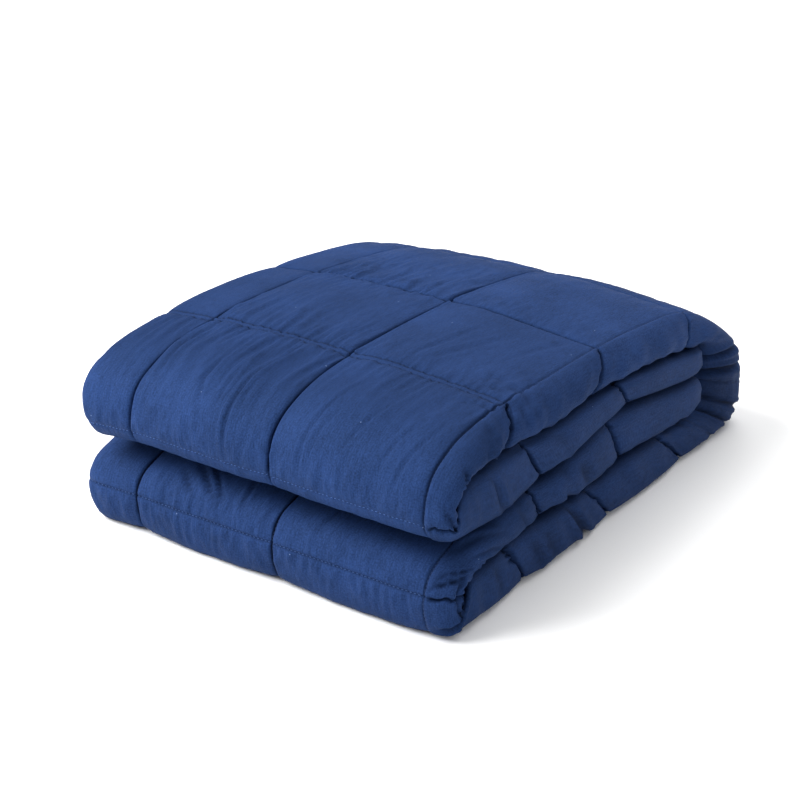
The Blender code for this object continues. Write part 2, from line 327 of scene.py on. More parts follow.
@dataclass
class FoldedForm:
    """The folded strip's shape: its layers and rolls in depth and height, and where it is sewn."""

    slit: float = 0.0016  # air between two layers that lie on each other
    tip_depth: float = 0.146  # the two free ends' depth in the stack
    tip_length: float = 0.018
    tip_shares: tuple = ((0.0, 0.3), (0.25, 0.72))
    base_depth: float = 0.15
    base_points: int = 5
    layer_tops: tuple = (  # depth, lowest, third, second, top
        (-0.166, 0.042, 0.0675, 0.1145, 0.1397), (-0.136, 0.044, 0.0725, 0.1152, 0.1443),
        (-0.076, 0.0445, 0.0775, 0.1158, 0.1456), (-0.04, 0.042, 0.084, 0.117, 0.1456),
        (0.0, 0.0435, 0.0885, 0.116, 0.1448), (0.06, 0.042, 0.0835, 0.1115, 0.14),
        (0.12, 0.0385, 0.0745, 0.101, 0.1315),
    )
    upper_roll: tuple = (  # depth, height
        (-0.192, 0.068), (-0.208, 0.0685), (-0.219, 0.0715), (-0.2262, 0.0775), (-0.2293, 0.0848),
        (-0.2273, 0.1034), (-0.2193, 0.1174), (-0.206, 0.1266), (-0.1916, 0.1333),
    )
    back_roll: tuple = (
        (0.153, 0.12), (0.184, 0.1015), (0.2085, 0.0795), (0.2225, 0.056), (0.228, 0.034), (0.2245, 0.015),
        (0.2125, 0.003), (0.195, 0.0),
    )
    lower_roll: tuple = (
        (-0.201, 0.0), (-0.213, 0.0002), (-0.2217, 0.004), (-0.227, 0.0155), (-0.2285, 0.033),
        (-0.2203, 0.0483), (-0.2012, 0.0566), (-0.186, 0.0625),
    )
    upper_slit_end: tuple = (
        (-0.186, 0.1138), (-0.204, 0.1112), (-0.2125, 0.1045), (-0.2145, 0.094), (-0.2145, 0.0835),
    )
    lower_slit_end: tuple = (
        (-0.182, 0.0412), (-0.196, 0.0395), (-0.204, 0.0335), (-0.206, 0.025), (-0.206, 0.0175),
    )
    back_hollow: tuple = (
        (0.146, 0.0965), (0.153, 0.0865), (0.156, 0.072), (0.156, 0.058), (0.153, 0.046), (0.145, 0.0395),
    )
    cross_seams: tuple = (  # near the outer face: depth, height, near the inner face: depth, height
        (0.02, 0.0955, 0.0, 0.11), (-0.104, 0.08, -0.131, 0.11), (-0.23, 0.0848, -0.2145, 0.0825),
        (-0.136, 0.144, -0.157, 0.123), (-0.01, 0.144, -0.04, 0.125), (0.129, 0.129, 0.11, 0.112),
        (0.228, 0.034, 0.157, 0.059), (0.119, 0.001, 0.078, 0.037), (-0.001, 0.001, -0.035, 0.037),
        (-0.123, 0.001, -0.146, 0.037), (-0.2285, 0.033, -0.207, 0.031), (-0.118, 0.069, -0.105, 0.05),
        (-0.01, 0.079, 0.011, 0.05),
    )

    def layer_points(self, layer: int, shift: float = 0.0) -> list:
        """Return a layer's top, from front to back, moved up by the shift."""
        return [(row[0], row[layer] + shift) for row in self.layer_tops]

    def tips(self) -> list[list]:
        """Return the faces of the two free ends, from the tip towards the front.

        Returns:
            The lower and the upper face of the upper end, and those of the lower one.
        """
        _, lowest, third, second, _ = self.layer_tops[-1]
        found = []
        for under, over in ((third, second), (lowest, third)):
            lower, upper = under + self.slit, over - self.slit
            middle, half = (lower + upper) / 2, (upper - lower) / 2
            found.append([
                [(self.tip_depth - back * self.tip_length, middle + side * share * half)
                 for back, share in self.tip_shares]
                for side in (-1, 1)
            ])
        return found

    def outer(self) -> FoldedRun:
        """Draw the strip's outer face.

        Returns:
            The run from the upper free end round the stack to the lower one.
        """
        upper_tip, lower_tip = self.tips()
        points = [
            *upper_tip[0],
            *self.layer_points(2, self.slit / 2)[::-1],
            *self.upper_roll,
            *self.layer_points(4),
            *self.back_roll,
            *((depth, 0.0) for depth in np.linspace(self.base_depth, -self.base_depth, self.base_points)),
            *self.lower_roll,
            *self.layer_points(2, -self.slit / 2),
            *lower_tip[1][::-1],
        ]
        return FoldedRun.through(FoldedRun.smooth(points), [row[:2] for row in self.cross_seams])

    def inner(self) -> FoldedRun:
        """Draw the strip's inner face.

        Returns:
            The run in the same order as the outer face's.
        """
        upper_tip, lower_tip = self.tips()
        faces = []
        for layer, slit_end in ((3, self.upper_slit_end), (1, self.lower_slit_end)):
            middle = FoldedRun.smooth(self.layer_points(layer)[::-1] + list(slit_end))
            across = FoldedRun.normals(middle) * self.slit / 2
            faces.append((middle + across, (middle - across)[::-1]))
        (second_top, first_base), (fourth_top, third_base) = faces
        pieces = (
            FoldedRun.smooth([*upper_tip[1], second_top[0]])[:-1],
            second_top,
            first_base,
            FoldedRun.smooth([first_base[-1], *self.back_hollow, fourth_top[0]])[1:-1],
            fourth_top,
            third_base,
            FoldedRun.smooth([third_base[-1], *lower_tip[0][::-1]])[1:],
        )
        return FoldedRun.through(np.concatenate(pieces), [row[2:] for row in self.cross_seams])


# The finishes


@dataclass(frozen=True)
class NavyCotton:
    """Plain-woven cotton, piece-dyed navy.

    To the eye it is matt and grainy with some lint, paler where a fold's front is rubbed and where light is
    painted, and darker where shade is painted.
    """

    name: str = "woven_navy_cotton"
    deep: str = "#172644"
    cloth: str = "#223660"
    # the paler colour of wear on the folds' fronts, and of painted light there and on the top towards the
    # back
    rubbed_and_painted_light: str = "#2a4274"
    lint: str = "#5f7399"
    # painted shade: the colour the cloth darkens to where shade is painted into seams, cuts, creases, slits
    # and the back roll's hollow
    painted_crevice_shade: str = "#080d1c"
    gloss_tint: str = "#a0cbff"
    roughness: float = 0.66
    specular: float = 0.05
    sheen: float = 0.008
    sheen_roughness: float = 0.5
    thread_width: float = 0.0009  # drawn twice as coarse as real, or it wouldn't show
    thread_wobble: float = 0.6
    grain: tuple = (0.0013, 0.0013, 1.0)  # width, length and height of a patch
    streak: tuple = (0.0011, 0.008, 1.0)  # a thicker thread's faint streak
    streak_share: float = 0.8
    patch: tuple = (0.045, 0.045, 0.045)  # uneven dye
    patch_share: float = 0.6
    detail: float = 2.0
    tone_range: tuple = (0.75, 1.65)  # sum of grain, streaks and patches that is all deep, and all pale
    tone_height: float = 2.0  # how high the grain stands beside the threads
    bump: tuple = (0.35, 0.0003)  # strength and height
    lint_spacing: float = 0.09
    lint_radius: float = 0.0004

    def noise(self, tree: Tree, place: Socket, size: tuple) -> Socket:
        """Add noise whose patches have a size in metres.

        Args:
            tree: The material's node tree.
            place: Coordinates in metres.
            size: Width, length and height of a patch.

        Returns:
            The noise's output, from 0 to 1.
        """
        scale = tuple(1 / part for part in size)
        spread = add_node(tree, "ShaderNodeMapping", {"Vector": place, "Scale": scale}).outputs[0]
        inputs = {"Vector": spread, "Scale": 1.0, "Detail": self.detail}
        return add_node(tree, "ShaderNodeTexNoise", inputs).outputs["Fac"]

    def patterns(self, tree: Tree) -> tuple[Socket, Socket, Socket]:
        """Add the patterns, which follow the cloth through its UV map in metres.

        Args:
            tree: The material's node tree.

        Returns:
            The dye's uneven tone, the specks of lint and the height of the plain weave, warp over weft.
        """
        place = add_node(tree, "ShaderNodeTexCoord")
        uv = place.outputs["UV"]
        total = self.noise(tree, uv, self.grain)
        for at, size, share in (
            (uv, self.streak, self.streak_share), (place.outputs["Object"], self.patch, self.patch_share),
        ):
            inputs = {0: self.noise(tree, at, size), 1: share, 2: total}
            total = add_node(tree, "ShaderNodeMath", inputs, operation="MULTIPLY_ADD").outputs[0]
        inputs = {"Value": total, "From Min": self.tone_range[0], "From Max": self.tone_range[1]}
        tone = add_node(tree, "ShaderNodeMapRange", inputs).outputs[0]
        inputs = {"Vector": uv, "Scale": 1 / self.lint_spacing}
        cells = add_node(tree, "ShaderNodeTexVoronoi", inputs, voronoi_dimensions="2D").outputs["Distance"]
        inputs = {0: cells, 1: self.lint_radius / self.lint_spacing}
        specks = add_node(tree, "ShaderNodeMath", inputs, operation="LESS_THAN").outputs[0]
        inputs = {"Vector": uv, "Scale": WAVE_SPACING / self.thread_width, "Distortion": self.thread_wobble}
        warp, weft = (
            add_node(tree, "ShaderNodeTexWave", inputs, bands_direction=way).outputs["Fac"]
            for way in ("X", "Y")
        )
        weave = add_node(tree, "ShaderNodeMath", {0: warp, 1: weft}, operation="MAXIMUM").outputs[0]
        return tone, specks, weave

    def material(self) -> bpy.types.Material:
        """Make the cotton.

        Returns:
            The material, paler by wear and painted light, and darker by painted shade, as the cloth's
            attributes give them.
        """
        tint = linear_colour(self.gloss_tint)
        made = new_material(self.name, {
            "Roughness": self.roughness, "Specular IOR Level": self.specular, "Specular Tint": tint,
            "Sheen Weight": self.sheen, "Sheen Roughness": self.sheen_roughness, "Sheen Tint": tint,
        })
        tree = made.node_tree
        shader = tree.nodes["Principled BSDF"]
        tone, specks, weave = self.patterns(tree)
        rubbed_and_painted_light, sunk_and_painted_shade = (
            add_node(tree, "ShaderNodeAttribute", attribute_name=title).outputs["Fac"]
            for title in ("rubbed_and_painted_light", "sunk_and_painted_shade")
        )
        colour = linear_colour(self.cloth)
        # paler by wear and painted light, deep or pale by the dye's tone, specked with lint, then darker by
        # painted shade
        for factor, side, other in (
            (rubbed_and_painted_light, "B", self.rubbed_and_painted_light), (tone, "A", self.deep),
            (specks, "B", self.lint), (sunk_and_painted_shade, "B", self.painted_crevice_shade),
        ):
            inputs = {"Factor": factor, "A": colour, "B": colour, side: linear_colour(other)}
            colour = add_node(tree, "ShaderNodeMix", inputs, data_type="RGBA").outputs["Result"]
        tree.links.new(colour, shader.inputs["Base Color"])
        inputs = {0: tone, 1: self.tone_height, 2: weave}
        height = add_node(tree, "ShaderNodeMath", inputs, operation="MULTIPLY_ADD").outputs[0]
        inputs = {"Height": height, "Strength": self.bump[0], "Distance": self.bump[1]}
        tree.links.new(add_node(tree, "ShaderNodeBump", inputs).outputs[0], shader.inputs["Normal"])
        return made


@dataclass(frozen=True)
class SewingThread:
    """Spun polyester thread, a shade lighter than the cloth, with a slight gloss on its twist."""

    name: str = "spun_polyester_thread"
    dye: str = "#42609a"
    # painted shade: the colour the thread darkens to in a seam's groove and at its needle holes
    painted_crevice_shade: str = "#0a1022"
    roughness: float = 0.7
    specular: float = 0.1
    twist: float = 0.0006
    bump: tuple = (0.3, 0.0002)  # strength and height

    def material(self) -> bpy.types.Material:
        """Make the thread.

        Returns:
            The material, with its twist as a fine bump, and darker by painted shade in seams and at needle
            holes.
        """
        made = new_material(self.name, {"Roughness": self.roughness, "Specular IOR Level": self.specular})
        tree = made.node_tree
        shader = tree.nodes["Principled BSDF"]
        place = add_node(tree, "ShaderNodeTexCoord").outputs["Object"]
        inputs = {"Vector": place, "Scale": WAVE_SPACING / self.twist}
        twist = add_node(tree, "ShaderNodeTexWave", inputs, bands_direction="DIAGONAL").outputs["Fac"]
        inputs = {"Height": twist, "Strength": self.bump[0], "Distance": self.bump[1]}
        tree.links.new(add_node(tree, "ShaderNodeBump", inputs).outputs[0], shader.inputs["Normal"])
        # painted shade darkens the thread in seams and at its needle holes
        sunk_and_painted_shade = add_node(tree, "ShaderNodeAttribute", attribute_name="sunk_and_painted_shade").outputs["Fac"]
        inputs = {"Factor": sunk_and_painted_shade, "A": linear_colour(self.dye), "B": linear_colour(self.painted_crevice_shade)}
        shaded = add_node(tree, "ShaderNodeMix", inputs, data_type="RGBA")
        tree.links.new(shaded.outputs["Result"], shader.inputs["Base Color"])
        return made


@dataclass(frozen=True)
class PaleFloor:
    """Matt white studio paper."""

    name: str = "white_studio_paper"
    paper: str = "#ffffff"
    roughness: float = 0.9

    def material(self) -> bpy.types.Material:
        """Return the paper."""
        return new_material(self.name, {"Base Color": linear_colour(self.paper), "Roughness": self.roughness})


# The blanket


@dataclass(frozen=True)
class Crease:
    """One fold in the cloth, along a line through some points."""

    points: tuple  # place along the run and distance across of each
    depth: float  # below the cloth, or above it where negative
    width: float
    lip: float = 0.35  # how high its edges stand, as a part of its depth
    lip_place: float = 2.0  # how far out they stand, in widths
    wall: float = 1.5  # how steep its walls are
    fading: tuple = (0.04, 0.96, 0.6)  # parts of its length between which it fades, and how

    def relief(self, along: Array, across: Array) -> Array:
        """Return how far the crease raises each point of the cloth.

        Args:
            along: Distance of each point along the run.
            across: Distance of each point across the strip.

        Returns:
            The height in metres.
        """
        spots = np.array(self.points) * (POCKET, 1.0)
        lengths = FoldedRun.distances(spots)
        off, gone = np.full(along.shape, np.inf), np.zeros(along.shape)
        for start, end, before, after in zip(spots, spots[1:], lengths, lengths[1:]):
            step = end - start
            right, up = along - start[0], across - start[1]
            part = np.clip((right * step[0] + up * step[1]) / (step @ step), 0.0, 1.0)
            away = np.hypot(right - part * step[0], up - part * step[1])
            gone = np.where(away < off, before + part * (after - before), gone)
            off = np.minimum(off, away)
        start, end, power = self.fading
        faded = np.sin(np.pi * np.clip(gone / lengths[-1], start, end)) ** power
        edges = falloff(off - self.lip_place * self.width, self.width)
        return self.depth * faded * (self.lip * edges - falloff(off, self.width, self.wall))


@dataclass(frozen=True)
class Puckers:
    """Small folds that a cross seam gathers on one side of it, at right angles to the seam."""

    seam: int
    side: int  # -1 is towards the upper free end, 1 towards the lower one
    reach: float
    height: float
    start: float = -HALF_WIDTH  # distance across where they begin
    end: float = HALF_WIDTH
    limit: float = 0.01  # half of the width over which they begin and end
    rise: float = 0.003  # distance from the seam over which they rise
    wander: tuple = (0.004, 0.04, 0.05)  # how far they wander sideways, and its patches across and along
    ridges: tuple = (0.0085, 1.3, 0.22)  # spacing, length in reaches, sharpness
    swell: tuple = (0.012, 1.2, 0.4)  # spacing, length in reaches, share of the height
    fine: tuple = (0.0032, 0.7, 0.4, 0.012)  # the same, and reach

    def relief(self, along: Array, across: Array, seed: int) -> Array:
        """Return how far the folds raise each point of the cloth.

        Args:
            along: Distance of each point along the run.
            across: Distance of each point across the strip.
            seed: Which folds they are.

        Returns:
            The height in metres.
        """
        off = (along - self.seam * POCKET) * self.side
        past = np.maximum(off, 0)
        far, width, length = self.wander
        bent = across + far * soft_noise(across / width, along / length, seed + 1)
        ridges, fine, swell = (
            soft_noise(bent / row[0], off / (row[1] * self.reach), seed + number)
            for row, number in ((self.ridges, 0), (self.fine, 2), (self.swell, 3))
        )
        folds = falloff(np.abs(ridges), self.ridges[2], 1) + self.swell[2] * swell - RIDGE_LEVEL
        share = np.where(off >= 0, falloff(past, self.reach), 0.0)
        gathered = share * np.minimum(past / self.rise, 1.0)
        begun, ended = (ramp(across, edge - self.limit, edge + self.limit) for edge in (self.start, self.end))
        limits = begun * (1 - ended)
        folds = folds + self.fine[2] * fine * falloff(past, self.fine[3], 1)
        return self.height * gathered * limits * folds


@dataclass
class ClothSettling:
    """Cloth simulation of the skin that shows, where spare cloth between the sewn lines swells and folds."""

    stretches: tuple = ((-0.7, 4.9), (7.35, 9.2))  # places along the run
    half_width: float = 0.15
    step_across: float = 0.0021
    step_along: float = 0.005
    frames: int = 20
    spare: float = 0.015  # cloth that the seams gather, as a part of its width
    hold: float = 0.25  # how strongly the filling holds the skin, from 0 to 1 for a sewn point
    cap: float = 0.004
    settings: tuple = (
        ("quality", 5), ("mass", 0.15), ("tension_stiffness", 20.0), ("compression_stiffness", 20.0),
        ("shear_stiffness", 6.0), ("bending_stiffness", 1.5), ("air_damping", 2.0), ("use_pressure", True),
        ("uniform_pressure_force", 4.0), ("vertex_group_mass", "held"), ("pin_stiffness", 1.0),
    )

    def grid(self, stretch: tuple) -> tuple[Array, Array]:
        """Return the simulated grid's lines along and across, with one on each seam."""
        along = lines_between(stretch[0] * POCKET, stretch[1] * POCKET, CROSS_SEAMS, self.step_along)
        return along, lines_between(-self.half_width, self.half_width, LENGTH_SEAMS, self.step_across)

    @staticmethod
    def resample(values: Array, old: tuple, new: tuple) -> Array:
        """Return values on a new grid, by straight lines between those on an old one.

        Args:
            values: Values by row, column and axis.
            old: The old grid's lines along and across.
            new: The new grid's lines along and across.

        Returns:
            The values on the new grid, which are 0 beyond the old one.
        """
        for axis in (0, 1):
            lines = old[axis]
            spot = np.clip(np.searchsorted(lines, new[axis]) - 1, 0, len(lines) - 2)
            part = (new[axis] - lines[spot]) / (lines[spot + 1] - lines[spot])
            inside = (part > -NEARLY) & (part < 1 + NEARLY)
            shape = [1, 1, 1]
            shape[axis] = len(spot)
            part = part.reshape(shape)
            values = values.take(spot, axis) * (1 - part) + values.take(spot + 1, axis) * part
            values = values * inside.reshape(shape)
        return values

    def simulate(self, start: Array, rest: Array, weights: Array) -> Array:
        """Let a sheet of points settle as cloth.

        Args:
            start: Where the points are, by row and column.
            rest: The shape in which the cloth isn't stretched.
            weights: How strongly each point is held.

        Returns:
            The settled points.
        """
        rows, columns = start.shape[:2]
        index = np.arange(rows * columns).reshape(rows, columns)
        corners = (index[:-1, :-1], index[:-1, 1:], index[1:, 1:], index[1:, :-1])
        mesh = bpy.data.meshes.new("settling_skin")
        mesh.from_pydata(start.reshape(-1, 3).tolist(), [], np.stack(corners, axis=2).reshape(-1, 4).tolist())
        skin = bpy.data.objects.new("settling_skin", mesh)
        scene = bpy.context.scene
        scene.collection.objects.link(skin)
        skin.shape_key_add(name="start")
        slack = skin.shape_key_add(name="slack")
        slack.data.foreach_set("co", rest.astype(np.float32).ravel())
        held = skin.vertex_groups.new(name="held")
        for weight in np.unique(weights):
            held.add(np.flatnonzero(weights.ravel() == weight).tolist(), float(weight), "REPLACE")
        cloth = skin.modifiers.new("settling", "CLOTH")
        for name, value in self.settings:
            setattr(cloth.settings, name, value)
        cloth.settings.rest_shape_key = slack
        cloth.settings.effector_weights.gravity = 0.0
        cloth.point_cache.frame_start, cloth.point_cache.frame_end = 1, self.frames
        for frame_number in range(1, self.frames + 1):
            scene.frame_set(frame_number)
        settled = skin.evaluated_get(bpy.context.evaluated_depsgraph_get()).to_mesh()
        points = np.zeros(rows * columns * 3, np.float32)
        settled.vertices.foreach_get("co", points)
        bpy.data.objects.remove(skin)
        bpy.data.meshes.remove(mesh)
        scene.frame_set(1)
        return points.reshape(rows, columns, 3).astype(float)

    def moves(self, lines: tuple, points: Array, folds: Array) -> Array:
        """Return how far settling moves each point of the cloth.

        Args:
            lines: The cloth's lines along and across, each in rising order.
            points: Its points by line along and across.
            folds: The vectors by which its folds move each of them.

        Returns:
            The moves on the same grid, capped.
        """
        total = np.zeros_like(points)
        for stretch in self.stretches:
            new = self.grid(stretch)
            flat, fold = (self.resample(values, lines, new) for values in (points, folds))
            to_cross = np.abs(new[0] - np.round(new[0] / POCKET) * POCKET)[:, None] < NEARLY
            to_length = np.min([np.abs(new[1] - seam) for seam in LENGTH_SEAMS], axis=0)[None, :] < NEARLY
            weights = np.where(to_cross | to_length, 1.0, self.hold)
            weights[[0, -1]] = weights[:, [0, -1]] = 1.0
            slack = flat + fold
            slack[..., 0] *= 1 + self.spare
            settled = self.simulate(flat + fold, slack, weights)
            move = settled - flat
            size = np.maximum(np.linalg.norm(move, axis=2, keepdims=True), TINY)
            move *= self.cap * np.tanh(size / self.cap) / size
            LOG.info("settled %s: mean %.2f, most %.2f mm", stretch, 1000 * size.mean(), 1000 * size.max())
            total += self.resample(move, new, lines)
        return total


@dataclass
class QuiltedBlanket:
    """The folded blanket's cloth, one closed padded piece."""

    name: str = "quilted_blanket"
    form: FoldedForm = field(default_factory=FoldedForm)
    settling: ClothSettling = field(default_factory=ClothSettling)

    # Grid of the mesh
    beside_length_seam: tuple = (0.0, 0.0006, 0.0012, 0.0021, 0.0036)
    beside_cross_seam: tuple = (0.0, 0.0008, 0.0016, 0.0026, 0.0038)
    steps: tuple = (  # place where a step of the grid begins, and the step
        (-3.0, 0.011), (-0.7, 0.0032), (0.5, 0.0048), (3.6, 0.0025), (4.5, 0.0048), (5.1, 0.011),
        (6.0, 0.005), (6.5, 0.011), (7.4, 0.0034), (8.4, 0.0052), (9.3, 0.011),
    )
    step_across: float = 0.0018
    decimals: int = 7  # of a grid line's place along the run
    arc_points: int = 25
    inner_points: int = 5

    # Quilting
    crown: float = 0.0044
    channel: float = 0.0006
    cross_share: float = 0.7
    shoulder: float = 0.006
    shoulder_share: float = 0.42
    edge: float = 0.003  # distance beyond the end seam over which the quilting stops
    opening_places: tuple = (-0.25, 0.1)  # where the outer face comes out of its slit
    closing_places: tuple = (8.6, 8.95)  # where it goes back into one
    face_shares: tuple = (0.3, 0.95)  # shares of the thickness between which a layer turns to its outer face
    left_face_shares: tuple = (-0.9, -0.6)  # the same for what shows of the cross seams round the left end

    # The two ends
    end_dips: dict = field(default_factory=lambda: {End.RIGHT: 0.004, End.LEFT: 0.0020})
    dip_width: float = 0.06
    dip_power: float = 2.5
    roll_seams: tuple = (0, 4, 8)
    roll_dip_share: float = 0.1
    left_squareness: float = 2.7
    right_profiles: tuple = (  # place, widest share of the thickness, squareness of the outer and inner half
        (-3.0, 0.45, 3.0, 4.0), (-0.6, 0.45, 3.0, 4.0), (0.2, -0.35, 1.6, 3.0), (3.2, -0.45, 1.5, 3.0),
        (3.7, 0.3, 2.6, 1.7), (4.4, 0.3, 2.6, 1.7), (5.0, 0.45, 3.0, 4.0), (7.4, 0.45, 3.0, 4.0),
        (8.1, -0.3, 1.6, 3.0), (8.7, -0.45, 3.0, 3.0), (11.0, -0.45, 3.5, 3.0),
    )
    tip_narrowing: float = 0.006
    tucks: tuple = ((-0.22, 0.014), (7.6, 0.006))  # place and depth of the left end's tucks
    tuck_reach: float = 0.45

    # Sinking: towards which end, by what part of the height, and the distances towards the end and the back
    # between which it sets in
    sags: tuple = (
        (End.RIGHT, 0.06, (0.03, 0.15), (-0.236, -0.08)), (End.LEFT, 0.045, (0.09, 0.165), (-1.0, -0.9)),
        (End.LEFT, 0.015, (-0.02, 0.07), (-0.06, 0.06)),
    )

    # Lengthwise seams: depth and width of the soft dip on their left side and of their sharp line
    left_dip: tuple = (0.001, 0.003)
    seam_line: tuple = (0.004, 0.001)
    right_lip: tuple = (0.0008, 0.0021, 0.0012)  # height, distance and width of the lip on their right side
    end_line_share: float = 0.35
    end_line_fade: tuple = (0.7, 1.5, 0.75)  # places between which the end seam's line fades, and by how much
    lower_line_share: float = 0.42  # how deep the lines are in the lower roll
    lower_start: float = 7.0
    line_shade: tuple = (0.00085, 4)  # width and squareness of the painted shade along the line

    # Cross seams: depth and width of the soft dip on both sides of them
    cross_dip: tuple = (0.0005, 0.0045)
    cross_lines: tuple = (  # seam, depth and width. A seam that isn't named lies between its neighbours
        (0, 0.0004, 0.0007), (1, 0.0009, 0.0008), (2, 0.0026, 0.0014), (3, 0.0022, 0.0012),
        (4, 0.0004, 0.0007), (8, 0.0007, 0.0008), (9, 0.0015, 0.0007),
    )
    double_seams: tuple = (1, 4)
    seam_rows: float = 0.0026  # from a double seam's middle to either row
    cross_lip: tuple = (0.0006, 0.0026, 0.0018)  # height, distance and width of the lip on the near side
    lipped_seams: tuple = (2, 3)
    cross_shades: tuple = ((0, 0.2), (1, 0.55), (2, 1.0), (3, 0.85), (4, 0.5), (8, 0.5))  # seam, darkness of the painted shade along it

    # Cross seams' cuts in the right end
    cut: tuple = (0.01, 0.0011, 1.6)  # depth, width and squareness
    cut_jag: tuple = (0.0019, 0.0036, 3.7, 41)  # how jagged, its patches, their shift by seam and seed
    cut_shade: float = 0.001  # width of the painted shade along a cut
    cut_edge: tuple = (0.146, 0.15)  # distances across between which the cuts begin
    cut_limit: float = 0.985  # share of the thickness up to which they run
    # Seam and share of the cuts' depth, where it isn't whole
    cut_shares: tuple = ((0, 0.4), (3, 0.4), (4, 0.06), (8, 0.4), (FIRST_PLACE, 0.0), (LAST_PLACE, 0.0))
    cut_bow: float = 0.005
    bowed_seams: tuple = (5, 6, 7)
    cut_gathers: tuple = (0.0014, 0.007, 0.06, 0.024)  # folds beside a cut: height, width, length, reach
    cut_gather_edge: tuple = (0.15, 0.158)
    cut_gather_seeds: tuple = (7.3, 70)  # shift by seam, and seed

    # Unevenness
    lumps: tuple = (  # of the filling: height, width, length and seed
        (0.00016, 0.006, 0.022, 6), (0.0003, 0.016, 0.06, 7), (0.00045, 0.035, 0.09, 8),
    )
    end_lumps: tuple = ((0.0012, 0.03, 0.014, 9), (0.0006, 0.02, 0.009, 10))
    gathers: tuple = ((0.05, 0.55, 0.003), (8.0, 0.5, 0.003), (4.0, 0.9, 0.001))  # place, reach, height
    gather_edge: tuple = (0.156, 0.192)
    gather_ridges: tuple = (0.0085, 0.03, 0.25, 60)  # spacing, length, sharpness and seed

